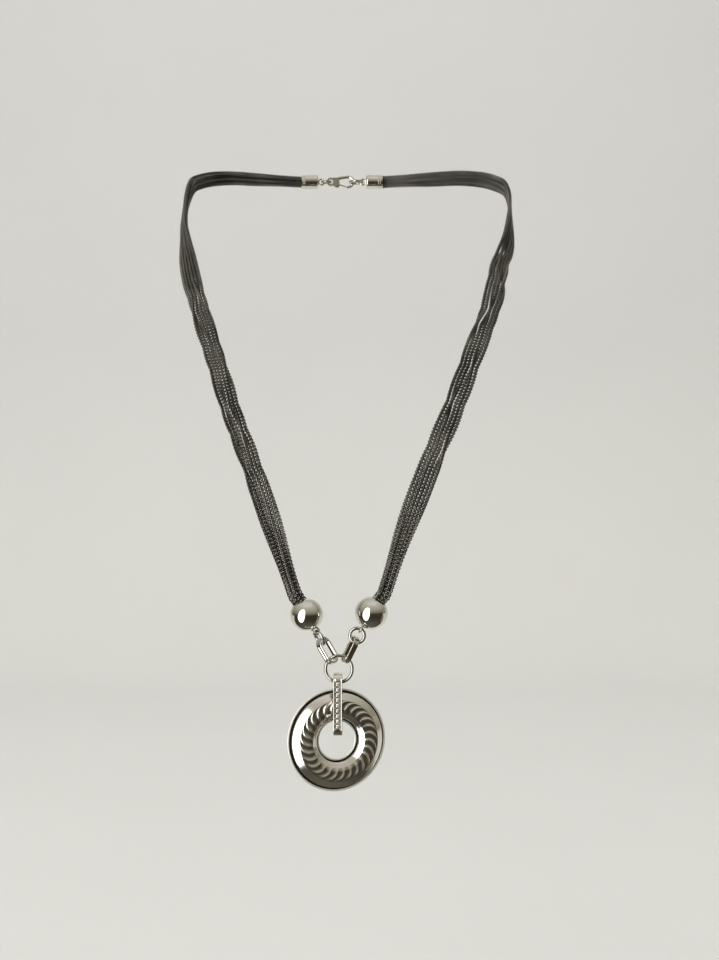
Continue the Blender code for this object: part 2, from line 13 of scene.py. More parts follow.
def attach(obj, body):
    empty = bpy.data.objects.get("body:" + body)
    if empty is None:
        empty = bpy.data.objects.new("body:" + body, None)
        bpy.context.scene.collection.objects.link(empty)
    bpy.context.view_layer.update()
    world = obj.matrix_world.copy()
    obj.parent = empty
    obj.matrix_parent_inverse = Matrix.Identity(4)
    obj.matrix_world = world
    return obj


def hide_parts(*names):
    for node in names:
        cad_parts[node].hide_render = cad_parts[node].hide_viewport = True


MM = 0.001
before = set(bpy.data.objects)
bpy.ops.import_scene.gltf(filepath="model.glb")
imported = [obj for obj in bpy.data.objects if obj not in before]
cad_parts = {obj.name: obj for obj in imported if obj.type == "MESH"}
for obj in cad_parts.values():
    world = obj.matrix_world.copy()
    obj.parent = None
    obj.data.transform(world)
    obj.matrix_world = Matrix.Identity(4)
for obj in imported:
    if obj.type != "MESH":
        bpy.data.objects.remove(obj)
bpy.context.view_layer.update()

CHAIN_Y = -92.0
SIDES = {
    "left": {
        "sign": -1.0, "ring_centre": (-6.2, CHAIN_Y, -176.7), "ball_tilt": 29.0, "ring_turn": 116.0,
        "link_centre": (-3.49, CHAIN_Y, -181.18), "link_tilt": 30.2, "link_turn": 58.0,
    },
    "right": {
        "sign": 1.0, "ring_centre": (7.08, CHAIN_Y, -175.85), "ball_tilt": 31.9, "ring_turn": 0.0,
        "link_centre": (4.59, CHAIN_Y, -180.8), "link_tilt": 26.0, "link_turn": -73.0,
    },
}
CENTRE_RING = (0.65, CHAIN_Y, -187.65)
CENTRE_RING_R, CENTRE_WIRE_R = 4.7, 0.6
RING_TO_BALL = 9.35
BALL_R, BALL_MOUTH_R, BALL_PIN_HOLE_R, BALL_WALL = 5.8, 2.75, 1.4, 0.7
CUP_FLOOR, CUP_R, CUP_WALL, CUP_RIM = -0.6, 2.65, 0.5, 2.7
SMALL_RING_R, SMALL_WIRE_R = 2.55, 0.62
EYE_R, EYE_WIRE_R, EYE_PLAY = 1.25, 0.35, 0.1
LINK_L, LINK_W, LINK_T, LINK_DEPTH = 10.4, 6.4, 0.65, 2.0
PENDANT_YAW = math.radians(19.0)
PENDANT_Z = -212.7
BAIL_CENTRE = (0.3, -92.8, -199.9)
BAIL_H, BAIL_DEPTH, BAIL_W, BAIL_T, BAIL_CORNER = 22.0, 7.8, 3.1, 1.1, 2.8
PLATE_BACK_FROM_BAIL = 1.86
CRYSTALS, CRYSTAL_PITCH, CRYSTAL_R = 9, 1.85, 0.82
NAPE = (0.0, 57.5, 15.0)
CAP_MOUTH_X, CAP_L, CAP_R, CAP_BORE_R, CAP_EYE_R, CAP_EYE_WIRE_R = 18.4, 7.6, 3.15, 2.65, 1.3, 0.4
CLASP_RING_R, CLASP_RING_WIRE_R, CATCH_RING_R, CATCH_RING_WIRE_R = 2.0, 0.5, 2.9, 0.6

STRANDS = 6
STRAND_MIN_PITCH = 1.3
STRAND_WIDTH = 1.6
CHAIN_LINK_PITCH = 0.72
ROUTE = {
    "left": (
        (-37.0, 47.5, 14.0), (-51.0, 32.5, 11.5), (-59.5, 15.0, 6.5), (-62.7, 0.0, -0.2),
        (-63.5, -14.0, -17.6), (-59.2, -30.0, -38.7), (-52.6, -45.0, -58.6), (-45.8, -57.0, -77.3),
        (-39.7, -67.0, -95.1), (-34.0, -74.0, -109.2), (-27.6, -81.0, -125.6), (-21.8, -86.5, -141.7),
    ),
    "right": (
        (38.0, 47.5, 14.0), (54.0, 32.5, 11.5), (65.0, 15.0, 6.0), (69.9, 0.0, -2.5),
        (68.6, -15.0, -22.8), (63.6, -27.0, -36.0), (59.3, -40.0, -52.5), (50.7, -55.0, -74.0),
        (42.4, -67.0, -95.1), (36.4, -74.0, -108.6), (29.6, -81.0, -125.3), (23.1, -86.5, -141.7),
    ),
}
# (share of the way from the nape, distance between neighbouring chains)
BUNDLE = {
    "left": (
        (0.0, 0.78), (0.04, 0.78), (0.12, 0.95), (0.3, 0.98),
        (0.46, 1.32), (0.86, 1.32), (0.955, 0.78), (1.0, 0.78),
    ),
    "right": (
        (0.0, 0.78), (0.04, 0.78), (0.12, 1.0), (0.26, 1.1),
        (0.38, 1.42), (0.84, 1.4), (0.955, 0.78), (1.0, 0.78),
    ),
}
# (share of the way where two neighbours start to change places, place of the first of them)
CROSSINGS = {
    "left": ((0.47, 1), (0.5, 4), (0.56, 2), (0.6, 0), (0.66, 3), (0.7, 1), (0.755, 4)),
    "right": ((0.4, 3), (0.44, 0), (0.5, 2), (0.53, 4), (0.6, 1), (0.66, 3), (0.73, 0)),
}
CROSSING_SPAN = 0.085
CROSSING_CLOSE = 0.5  # how far the others lean in beside a crossing
BALL_STRAIGHT = 3.6
LINE_STEPS = 420
CHAIN_LINK_POINTS, CHAIN_LINK_SQUARENESS, CHAIN_LINK_SHORTENING = 12, 3.4, 0.8
CHAIN_LINK_STRIP, CHAIN_LINK_HOLE = 0.32, 0.4  # half of the strip's breadth, half of the hole's width
QUARTER = math.pi / 2

FLUTES, COLUMNS_PER_FLUTE = 27, 26
FLUTE_INNER, FLUTE_OUTER = 9.7, 14.15
FLUTE_TWIST = math.radians(19.0)
FLUTE_DEPTH = 0.4
DOME_BASE = 0.72
DOME_SHOULDER = 1.5  # the flutes lie above this height

BAIL_RAIL_IN = 1.08  # from the middle of the band to the stones' channel
CHANNEL_DEPTH, PLAIN_DEPTH = 0.6, 0.04
STONE_POINTS, STONE_SQUARENESS, STONE_FIT = 16, 5, 0.93
BEAD_ACROSS, BEAD_R = 0.82, 0.2


# ---- vectors and frames ----


def vec(point):
    return Vector(point)


def superellipse_reach(angle, squareness):
    """Distance from the middle to a rounded square's side, for a half width of 1."""
    return 1.0 / (abs(math.cos(angle)) ** squareness + abs(math.sin(angle)) ** squareness) ** (1 / squareness)


def frame_matrix(place, x_axis, y_axis):
    """A placement in metres, from a place in millimetres, whose local X and Y run along two directions."""
    x_axis, y_axis = x_axis.normalized(), y_axis.normalized()
    rotation = Matrix((x_axis, y_axis, x_axis.cross(y_axis))).transposed().to_4x4()
    return Matrix.Translation(vec(place) * MM) @ rotation


def tilted_up(side, degrees):
    """A direction up and away from the middle, leaning by some degrees to its own side."""
    angle = math.radians(degrees)
    return Vector((side["sign"] * math.sin(angle), 0.0, math.cos(angle)))


def turned_frame(place, long_axis, degrees):
    """Local Y along long_axis and local Z, which faces -Y at 0 degrees, turned about it."""
    normal = Matrix.Rotation(math.radians(degrees), 3, long_axis) @ Vector((0.0, -1.0, 0.0))
    return frame_matrix(place, long_axis.cross(normal), long_axis)


# ---- grids of points, which every piece is made from ----


def grid_faces(rows, columns, start=0):
    """Four-sided faces of a grid of points that closes on itself both ways."""
    r, c = np.meshgrid(np.arange(rows), np.arange(columns), indexing="ij")
    r2, c2 = (r + 1) % rows, (c + 1) % columns
    corners = np.stack([r * columns + c, r2 * columns + c, r2 * columns + c2, r * columns + c2], axis=-1)
    return corners.reshape(-1, 4) + start


def mesh_from(name, grids):
    """One mesh from closed grids of points in millimetres, each (rows, columns, 3)."""
    points, faces, start = [], [], 0
    for grid in grids:
        rows, columns = grid.shape[:2]
        points.append(grid.reshape(-1, 3))
        faces.append(grid_faces(rows, columns, start))
        start += rows * columns
    return mesh_of(name, np.concatenate(points) * MM, np.concatenate(faces))


def mesh_of(name, points, faces):
    """A mesh from arrays of points in metres and of faces that have the same number of corners."""
    mesh = bpy.data.meshes.new(name)
    mesh.vertices.add(len(points))
    mesh.vertices.foreach_set("co", np.ascontiguousarray(points, dtype=np.float32).ravel())
    mesh.loops.add(faces.size)
    mesh.loops.foreach_set("vertex_index", np.ascontiguousarray(faces, dtype=np.int32).ravel())
    mesh.polygons.add(len(faces))
    mesh.polygons.foreach_set("loop_start", np.arange(0, faces.size, faces.shape[1], dtype=np.int32))
    mesh.update(calc_edges=True)
    mesh.validate()
    return mesh


def add_piece(name, mesh, material, body, nodes, matrix=None, sharp=40.0):
    """Put a mesh on a body in place of some CAD nodes; edges past sharp degrees stay crisp."""
    piece = bpy.data.objects.new(name, mesh)
    bpy.context.scene.collection.objects.link(piece)
    mesh.materials.append(material)
    mesh.shade_smooth()
    mesh.set_sharp_from_angle(angle=math.radians(sharp))
    if matrix is not None:
        mesh.transform(matrix)
    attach(piece, body)
    if nodes:
        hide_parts(*nodes)
    return piece


def turned(profile, steps=96):
    """A closed profile of (radius, height), drawn anticlockwise, turned about Z."""
    profile = np.array(profile, dtype=float)
    angle = np.arange(steps) * math.tau / steps
    grid = np.empty((steps, len(profile), 3))
    grid[..., 0] = np.cos(angle)[:, None] * profile[:, 0]
    grid[..., 1] = np.sin(angle)[:, None] * profile[:, 0]
    grid[..., 2] = profile[:, 1]
    return grid


def swept(path, outward, depth, sections):
    """Sections of (out, along depth) at each point of a closed path."""
    sections = np.broadcast_to(sections, (len(path), *np.shape(sections)[-2:]))
    return (path[:, None, :] + sections[..., :1] * outward[:, None, :] + sections[..., 1:] * depth)


def tube(points, radius, sides=12):
    """A round tube along an open line, its ends drawn in to a point."""
    points = np.array([tuple(p) for p in points], dtype=float)
    tangent = np.gradient(points, axis=0)
    tangent /= np.linalg.norm(tangent, axis=1, keepdims=True)
    across = np.cross(tangent[0], (0.3, 0.9, 0.2))
    rows = []
    for point, along in zip(points, tangent):
        across = across - along * across.dot(along)
        across /= np.linalg.norm(across)
        other = np.cross(along, across)
        angle = np.arange(sides) * math.tau / sides
        rows.append(point + radius * (np.cos(angle)[:, None] * across + np.sin(angle)[:, None] * other))
    first = points[0] + (rows[0] - points[0]) * 0.02
    last = points[-1] + (rows[-1] - points[-1]) * 0.02
    return np.array([first, *rows, last])[:, ::-1]


def jump_ring(major_r, wire_r, seam_degrees, steps=96, sides=20):
    """A round wire bent into a ring in the XY plane, its two cut ends nearly meeting at the seam."""
    gap = 0.03 / major_r
    start = math.radians(seam_degrees)
    angle = start + gap + (math.tau - 2 * gap) * np.arange(steps + 1) / steps
    turn = np.arange(sides) * math.tau / sides
    sizes = np.full(steps + 1, wire_r)
    sizes[[0, -1]] *= 0.88
    out = major_r + sizes[:, None] * np.cos(turn)
    grid = np.empty((steps + 1, sides, 3))
    grid[..., 0] = np.cos(angle)[:, None] * out
    grid[..., 1] = np.sin(angle)[:, None] * out
    grid[..., 2] = sizes[:, None] * np.sin(turn)
    ends = []
    for row, spot in ((0, angle[0]), (-1, angle[-1])):
        middle = np.array((math.cos(spot), math.sin(spot), 0.0)) * major_r
        ends.append(middle + (grid[row] - middle) * 0.02)
    return np.concatenate([ends[0][None], grid, ends[1][None]])[:, ::-1]


def rounded_loop(width, height, corner, spacing=0.25):
    """Points and outward directions of a rectangle with round corners, in the XY plane."""
    points, normals = [], []
    arc_steps = max(6, int(corner * math.pi / 2 / spacing))
    centres = ((1, 1, 0), (-1, 1, 90), (-1, -1, 180), (1, -1, 270))
    for index, (sx, sy, start) in enumerate(centres):
        centre = np.array((sx * (width / 2 - corner), sy * (height / 2 - corner), 0.0))
        for step in range(arc_steps + 1):
            angle = math.radians(start + 90.0 * step / arc_steps)
            normal = np.array((math.cos(angle), math.sin(angle), 0.0))
            points.append(centre + corner * normal)
            normals.append(normal)
        next_x, next_y, _ = centres[(index + 1) % 4]
        next_centre = np.array((next_x * (width / 2 - corner), next_y * (height / 2 - corner), 0.0))
        finish = next_centre + corner * normals[-1]
        count = int(np.linalg.norm(finish - points[-1]) / spacing)
        begin = points[-1]
        for step in range(1, count):
            points.append(begin + (finish - begin) * step / count)
            normals.append(normals[-1])
    return np.array(points), np.array(normals)


def smooth_line(points, per_span=16):
    """A smooth curve through a few points, as a list of points."""
    points = [2 * points[0] - points[1], *points, 2 * points[-1] - points[-2]]
    line = []
    for a, b, c, d in zip(points, points[1:], points[2:], points[3:]):
        for step in range(per_span):
            t = step / per_span
            line.append(0.5 * (2 * b + t * (c - a) + t * t * (2 * a - 5 * b + 4 * c - d)
                               + t ** 3 * (3 * b - a - 3 * c + d)))
    line.append(points[-2])
    return line


def smooth_profile(points, per_span):
    """A smooth curve through a few (radius, height) points."""
    return np.array(smooth_line([np.array(point, dtype=float) for point in points], per_span))


# ---- materials ----


def new_material(name):
    """A new material with its nodes, its links and its main shader."""
    material = bpy.data.materials.new(name)
    material.use_nodes = True
    nodes = material.node_tree.nodes
    return material, nodes, material.node_tree.links, nodes["Principled BSDF"]


def ramp_of(nodes, stops):
    """A colour ramp with a colour at each place."""
    ramp = nodes.new("ShaderNodeValToRGB")
    while len(ramp.color_ramp.elements) < len(stops):
        ramp.color_ramp.elements.new(0.5)
    for element, (place, colour) in zip(ramp.color_ramp.elements, stops):
        element.position = place
        element.color = (*colour, 1.0)
    return ramp


def noise_of(nodes, links, scale, detail=3.0, stretch=(1.0, 1.0, 1.0)):
    """Noise in the row frame, scale in cells a metre."""
    place = nodes.new("ShaderNodeTexCoord")
    mapping = nodes.new("ShaderNodeMapping")
    mapping.inputs["Scale"].default_value = stretch
    links.new(place.outputs["Object"], mapping.inputs["Vector"])
    noise = nodes.new("ShaderNodeTexNoise")
    noise.inputs["Scale"].default_value = scale
    noise.inputs["Detail"].default_value = detail
    links.new(mapping.outputs["Vector"], noise.inputs["Vector"])
    return noise


def metal(name, low, high, rough_low, rough_high, grain=900.0, bump=0.02, patch=180.0, metallic=1.0):
    """Metal whose colour drifts between two tones and whose gloss and surface have fine handling marks.

    The scales of both, grain for the marks and patch for the colour, are in cells a metre.
    """
    material, nodes, links, shader = new_material(name)
    shader.inputs["Metallic"].default_value = metallic
    tone = ramp_of(nodes, ((0.35, low), (0.65, high)))
    links.new(noise_of(nodes, links, patch).outputs["Fac"], tone.inputs["Fac"])
    links.new(tone.outputs["Color"], shader.inputs["Base Color"])
    marks = noise_of(nodes, links, grain, 5.0, (1.0, 1.0, 3.0))
    gloss = nodes.new("ShaderNodeMapRange")
    gloss.inputs["To Min"].default_value = rough_low
    gloss.inputs["To Max"].default_value = rough_high
    links.new(marks.outputs["Fac"], gloss.inputs["Value"])
    links.new(gloss.outputs["Result"], shader.inputs["Roughness"])
    relief = nodes.new("ShaderNodeBump")
    relief.inputs["Strength"].default_value = bump
    relief.inputs["Distance"].default_value = 0.00005
    links.new(marks.outputs["Fac"], relief.inputs["Height"])
    links.new(relief.outputs["Normal"], shader.inputs["Normal"])
    return material


def painted_light_where(material, attribute, colour, roughness):
    """Paint shade or a highlight into a metal's colour, and add to its roughness, where a mesh attribute is
    high.
    """
    nodes, links = material.node_tree.nodes, material.node_tree.links
    shader = nodes["Principled BSDF"]
    where = nodes.new("ShaderNodeAttribute")
    where.attribute_name = attribute
    tone = shader.inputs["Base Color"].links[0].from_socket
    blend = nodes.new("ShaderNodeMix")
    blend.data_type = "RGBA"
    blend.inputs["B"].default_value = (*colour, 1.0)
    links.new(tone, blend.inputs["A"])
    links.new(where.outputs["Fac"], blend.inputs["Factor"])
    links.new(blend.outputs["Result"], shader.inputs["Base Color"])
    gloss = shader.inputs["Roughness"].links[0].from_socket
    duller = nodes.new("ShaderNodeMath")
    duller.operation = "MULTIPLY_ADD"
    duller.inputs[1].default_value = roughness
    links.new(where.outputs["Fac"], duller.inputs[0])
    links.new(gloss, duller.inputs[2])
    links.new(duller.outputs["Value"], shader.inputs["Roughness"])


def fluted_metal(name):
    """The dome: polished, with painted shade darkening the floors of the flutes and a painted highlight
    making their ridges pale; the ridges are satin too.
    """
    material = metal(name, (0.76, 0.735, 0.68), (0.82, 0.795, 0.74), 0.12, 0.18)
    painted_light_where(material, "flute", (0.46, 0.445, 0.385), 0.18)
    painted_light_where(material, "ridge", (0.97, 0.95, 0.9), 0.34)
    return material


def crystal_material():
    """Clear stone over foil: a coated, partly mirrored surface whose tone changes from facet to facet."""
    material, nodes, links, shader = new_material("crystal_stone")
    tone = ramp_of(nodes, ((0.3, (0.46, 0.44, 0.38)), (0.7, (0.82, 0.8, 0.74))))
    links.new(noise_of(nodes, links, 1400.0).outputs["Fac"], tone.inputs["Fac"])
    links.new(tone.outputs["Color"], shader.inputs["Base Color"])
    shader.inputs["Metallic"].default_value = 0.35
    shader.inputs["Roughness"].default_value = 0.04
    shader.inputs["IOR"].default_value = 2.1
    shader.inputs["Coat Weight"].default_value = 1.0
    shader.inputs["Coat Roughness"].default_value = 0.02
    return material


def paper(name, colour):
    """Matt paper with a faint change of tone."""
    material, nodes, links, shader = new_material(name)
    shade = tuple(channel * 0.985 for channel in colour)
    tone = ramp_of(nodes, ((0.3, shade), (0.7, colour)))
    links.new(noise_of(nodes, links, 6.0, 2.0).outputs["Fac"], tone.inputs["Fac"])
    links.new(tone.outputs["Color"], shader.inputs["Base Color"])
    shader.inputs["Roughness"].default_value = 0.95
    shader.inputs["Specular IOR Level"].default_value = 0.1
    return material


POLISHED = metal("polished_steel_surface", (0.7, 0.68, 0.63), (0.77, 0.75, 0.7), 0.05, 0.11)
RING_STEEL = metal("ring_steel", (0.42, 0.405, 0.37), (0.52, 0.5, 0.46), 0.08, 0.16,
                   grain=1500.0, bump=0.03, patch=500.0)
# Much darker than the other steel, painting the shade among the close-packed links.
CHAIN_STEEL = metal("chain_links", (0.1, 0.095, 0.085), (0.2, 0.19, 0.172), 0.08, 0.16,
                    grain=2500.0, bump=0.03, patch=90.0)
# Near-black steel for the rings laid in the plate's grooves: painted shade.
PAINTED_GROOVE_SHADE = metal("painted_groove_shade", (0.05, 0.045, 0.038), (0.09, 0.082, 0.07), 0.35, 0.5,
                   grain=1500.0, bump=0.03, patch=500.0)
# Pale and half diffuse, so that the beaded rims show a bright line: a painted highlight.
EDGE_STEEL = metal("edge_steel", (0.84, 0.825, 0.785), (0.9, 0.885, 0.845), 0.38, 0.46, metallic=0.5)
DOME = fluted_metal("fluted_steel")
STONE = crystal_material()


# ---- camera and chains ----


def make_camera():
    data = bpy.data.cameras.new("camera")
    data.lens = 54.0
    data.sensor_width = 36.0
    data.clip_start, data.clip_end = 0.01, 20.0
    camera = bpy.data.objects.new("camera", data)
    camera.location = (0.0079, -0.6, -0.121)
    camera.rotation_euler = (math.radians(90.0), 0.0, 0.0)
    bpy.context.scene.collection.objects.link(camera)
    bpy.context.scene.camera = camera


def evenly(line, count):
    """Points at even distances along a line, and the line's length."""
    line = np.array([tuple(p) for p in line], dtype=float)
    run = np.concatenate([[0.0], np.cumsum(np.linalg.norm(np.diff(line, axis=0), axis=1))])
    goals = np.linspace(0.0, run[-1], count)
    return np.stack([np.interp(goals, run, line[:, axis]) for axis in range(3)], axis=1), run[-1]


def ball_centre(side):
    return vec(side["ring_centre"]) + RING_TO_BALL * tilted_up(side, side["ball_tilt"])


def bundle_line(name, side):
    """The middle of one side's bundle, from inside the end cap to inside the ball."""
    sign = side["sign"]
    mouth = vec(NAPE) + Vector((sign * CAP_MOUTH_X, 0.0, 0.0))
    cap_floor = mouth - Vector((sign * (CAP_L - 1.3), 0.0, 0.0))
    up = tilted_up(side, side["ball_tilt"])
    centre = ball_centre(side)
    line = [cap_floor, mouth, *(vec(point) for point in ROUTE[name])]
    line += [centre + (BALL_R + BALL_STRAIGHT) * up, centre + BALL_R * up, centre + (CUP_FLOOR + 0.3) * up]
    return smooth_line(line)


def smooth_share(value, low, high):
    """0 below low, 1 above high and a smooth step between."""
    share = min(1.0, max(0.0, (value - low) / (high - low)))
    return share * share * (3 - 2 * share)


def keyed(keys, share):
    """A value that eases from key to key."""
    for (start, first), (end, second) in zip(keys, keys[1:]):
        if share <= end:
            return first + (second - first) * smooth_share(share, start, end)
    return keys[-1][1]


def closed_in(across, outward, closings, pitch):
    """A chain's place after it leans in towards each crossing, so that no gap opens beside it."""
    lean = sum(amount * max(-1.0, min(1.0, (across - middle) / pitch)) for middle, amount in closings)
    return across - lean, outward


def strand_places(name, share):
    """(across, outward) of each chain in the bundle at a share of the way along it."""
    pitch = keyed(BUNDLE[name], share)
    lift = 0.5 * math.sqrt(max(0.0, STRAND_MIN_PITCH ** 2 - pitch ** 2))
    slots = [((i - (STRANDS - 1) / 2) * pitch, lift * (-1) ** i) for i in range(STRANDS)]
    order = list(range(STRANDS))
    spots, closings = dict(enumerate(slots)), []
    for number, (start, slot) in enumerate(CROSSINGS[name]):
        turn = math.pi * smooth_share(share, start, start + CROSSING_SPAN)
        if turn == 0.0:
            continue
        first, second = order[slot], order[slot + 1]
        middle = (slots[slot][0] + slots[slot + 1][0]) / 2
        arm = (slots[slot][0] - middle, slots[slot][1])
        spin = turn * (-1) ** number
        across = arm[0] * math.cos(spin) - arm[1] * math.sin(spin)
        outward = arm[0] * math.sin(spin) + arm[1] * math.cos(spin)
        spots[first] = (middle + across, outward)
        spots[second] = (middle - across, -outward)
        closings.append((middle, CROSSING_CLOSE * (1.0 - abs(math.cos(turn)))))
        if turn == math.pi:
            order[slot], order[slot + 1] = second, first
    return [closed_in(*spots[i], closings, pitch) for i in range(STRANDS)]


def outward_at(point):
    """The direction away from the body: level round the neck, forwards on the chest."""
    around = Vector((point[0], point[1], 0.0)).normalized()
    return around.lerp(Vector((0.0, -1.0, 0.25)), smooth_share(-point[2], 0.0, 60.0))


def strand_lines(name, side):
    """For each chain of one side, its line of points and the bundle's sideways direction at each."""
    middle, _ = evenly(bundle_line(name, side), LINE_STEPS)
    tangent = np.gradient(middle, axis=0)
    lines, sideways = [[] for _ in range(STRANDS)], []
    for index, (point, along) in enumerate(zip(middle, tangent)):
        along = vec(along).normalized()
        across = along.cross(outward_at(point)).normalized()
        out = across.cross(along)
        sideways.append(tuple(across))
        for line, (u, v) in zip(lines, strand_places(name, index / (LINE_STEPS - 1))):
            line.append(tuple(vec(point) + across * u + out * v))
    return [np.array(line) for line in lines], np.array(sideways)


def box_link():
    """One square link: a flat strip bent into a square frame in the XY plane, X along the chain."""
    half, strip, hole = STRAND_WIDTH / 2, CHAIN_LINK_STRIP, CHAIN_LINK_HOLE
    grid = []
    for angle in np.arange(CHAIN_LINK_POINTS) * math.tau / CHAIN_LINK_POINTS:
        reach = superellipse_reach(angle, CHAIN_LINK_SQUARENESS)
        x, y = CHAIN_LINK_SHORTENING * reach * math.cos(angle), reach * math.sin(angle)
        grid.append([
            (hole * x, hole * y, -0.8 * strip), (hole * x, hole * y, 0.8 * strip),
            (0.8 * half * x, 0.8 * half * y, strip), (half * x, half * y, 0.35 * strip),
            (half * x, half * y, -0.35 * strip), (0.8 * half * x, 0.8 * half * y, -strip),
        ])
    return np.array(grid)


def chain_mesh(name, line, sideways, seed):
    """Square links, each turned a quarter from the one before, threaded along a line."""
    _, length = evenly(line, 2)
    count = int(length / CHAIN_LINK_PITCH)
    points, _ = evenly(line, count)
    share, link_share = np.linspace(0.0, 1.0, len(sideways)), np.linspace(0, 1, count)
    side = np.stack([np.interp(link_share, share, sideways[:, axis]) for axis in range(3)], axis=1)
    along = np.gradient(points, axis=0)
    along /= np.linalg.norm(along, axis=1, keepdims=True)
    side -= along * np.sum(side * along, axis=1, keepdims=True)
    side /= np.linalg.norm(side, axis=1, keepdims=True)
    other = np.cross(along, side)
    random = np.random.default_rng(seed)
    slow_twist = np.cumsum(random.normal(0.0, 0.035, count)) + random.uniform(0.0, QUARTER)
    turn = slow_twist + random.normal(0.0, 0.05, count) + (np.arange(count) % 2) * QUARTER
    u = side * np.cos(turn)[:, None] + other * np.sin(turn)[:, None]
    v = np.cross(along, u)
    link = box_link()
    corners = link.reshape(-1, 3)
    basis = np.stack([along, u, v], axis=1)
    placed = points[:, None, :] + np.einsum("pk,nkj->npj", corners, basis)
    faces = grid_faces(*link.shape[:2])
    all_faces = (faces[None] + (np.arange(count) * len(corners))[:, None, None]).reshape(-1, 4)
    return mesh_of(name, placed.reshape(-1, 3) * MM, all_faces), length


def make_chains():
    """Six chains a side, each one mesh of separate links on its own line through the bundle."""
    for number, (name, side) in enumerate(SIDES.items()):
        lines, sideways = strand_lines(name, side)
        for index, line in enumerate(lines):
            node = f"{name}_strand_{index + 1}"
            mesh, length = chain_mesh(node + "_links", line, sideways, 17 * number + index)
            piece = add_piece(node + "_links", mesh, CHAIN_STEEL, "root", [node], sharp=50.0)


# ---- pendant ----


def pendant_frame():
    """The disc's placement: Z out of its face, which is turned to the viewer's right."""
    front = Vector((math.sin(PENDANT_YAW), -math.cos(PENDANT_YAW), 0.0))
    side = Vector((math.cos(PENDANT_YAW), math.sin(PENDANT_YAW), 0.0))
    back = vec(BAIL_CENTRE) - PLATE_BACK_FROM_BAIL * front
    back.z = PENDANT_Z
    return frame_matrix(back, side, front.cross(side))


def dome_profile():
    """From the outer edge, up the slope and over the crest, down to the edge of the hole."""
    slope = ((16.8, 0.3), (16.78, 0.55), (16.65, 0.86), (16.1, 1.34), (15.3, 1.94), (14.4, 2.56), (13.4, 2.9))
    crest = ((12.0, 3.0), (10.8, 2.93), (9.8, 2.56))
    throat = ((8.9, 2.0), (8.15, 1.5), (7.84, 1.1), (7.76, 0.3))
    line = smooth_profile((*slope, *crest, *throat), 7)
    return np.concatenate([[(16.8, 0.0)], line, [(7.75, 0.0)]])


def make_dome(placement):
    """The dome, with scooped flutes that sweep round and meet in narrow ridges."""
    profile = dome_profile()
    columns = FLUTES * COLUMNS_PER_FLUTE
    u = np.clip((profile[:, 0] - FLUTE_INNER) / (FLUTE_OUTER - FLUTE_INNER), 0.0, 1.0)
    on_top = profile[:, 1] > DOME_SHOULDER
    fade = np.where(on_top, np.sin(math.pi * u) ** 0.55 * (0.55 + 0.45 * u), 0.0)
    twist = -FLUTE_TWIST * (1.0 - np.sqrt(1.0 - 0.97 * u * u))
    phase = np.arange(columns) / COLUMNS_PER_FLUTE
    part = phase % 1.0
    wave = np.sin(math.pi * part ** 0.8)
    scoop = 1.3 * wave ** 1.9 / (wave + 0.3)
    angle = phase[:, None] * math.tau / FLUTES + twist[None, :]
    height = DOME_BASE + profile[:, 1][None, :] - FLUTE_DEPTH * scoop[:, None] * fade[None, :]
    grid = np.empty((columns, len(profile), 3))
    grid[..., 0] = np.cos(angle) * profile[:, 0]
    grid[..., 1] = np.sin(angle) * profile[:, 0]
    grid[..., 2] = height
    mesh = mesh_from("pendant_dome_fluted", [grid])
    # Masks for the dome's material: flute carries painted shade in the flute floors, ridge a painted
    # highlight on the ridges.
    flute_painted_shade = np.clip(scoop[:, None] * fade[None, :] * 1.15, 0.0, 1.0) ** 1.5
    ridge = np.clip(1.0 - 1.6 * scoop[:, None], 0.0, 1.0) * fade[None, :]
    for attribute, amount in (("flute", flute_painted_shade), ("ridge", ridge)):
        layer = mesh.attributes.new(attribute, "FLOAT", "POINT")
        layer.data.foreach_set("value", amount.astype(np.float32).ravel())
    add_piece("pendant_dome_fluted", mesh, DOME, "pendant", ["pendant_dome"], matrix=placement, sharp=60.0)


def bead(centre_r, centre_h, radius, start, end, steps):
    """An arc of a profile, between two angles in degrees."""
    angles = np.radians(np.linspace(start, end, steps))
    return [(centre_r + radius * math.cos(a), centre_h + radius * math.sin(a)) for a in angles]


def make_plate(placement):
    """The washer behind the dome, its outer and inner edges rolled into fine beads."""
    profile = [(6.85, 0.0), (17.95, 0.0)]
    profile += bead(17.86, 0.36, 0.34, -75.0, 200.0, 16)
    profile += [(17.46, 0.12), (7.4, 0.12)]
    profile += bead(6.98, 0.36, 0.33, -20.0, 255.0, 16)
    # The washer's pale, half-diffuse steel paints a bright highlight along its beaded rims.
    mesh = mesh_from("pendant_plate_beaded", [turned(profile, 256)])
    add_piece("pendant_plate_beaded", mesh, EDGE_STEEL, "pendant", ["pendant_back_plate"], matrix=placement)
    # Dark rings in the grooves between the dome and the beads: painted shade.
    groove_shade_rings = [turned([(inner, 0.06), (outer, 0.06), (outer, 0.16), (inner, 0.16)], 192)
              for inner, outer in ((7.2, 8.0), (16.6, 17.56))]
    mesh = mesh_from("pendant_painted_groove_shade", groove_shade_rings)
    add_piece("pendant_painted_groove_shade", mesh, PAINTED_GROOVE_SHADE, "pendant", [], matrix=placement)


def bail_section(depth):
    """The band's section where its channel has some depth, as (out, across)."""
    half, rail, soft = BAIL_W / 2, BAIL_RAIL_IN, 0.1
    return [
        (-BAIL_T + soft, -half), (-BAIL_T, soft - half), (-BAIL_T, half - soft), (-BAIL_T + soft, half),
        (-0.16, half), (-0.04, half - 0.06), (0.0, half - 0.17), (0.0, rail + 0.14),
        (-0.05, rail + 0.04), (-depth, rail), (-depth, -rail), (-0.05, -rail - 0.04),
        (0.0, -rail - 0.14), (0.0, 0.17 - half), (-0.04, 0.06 - half), (-0.16, -half),
    ]


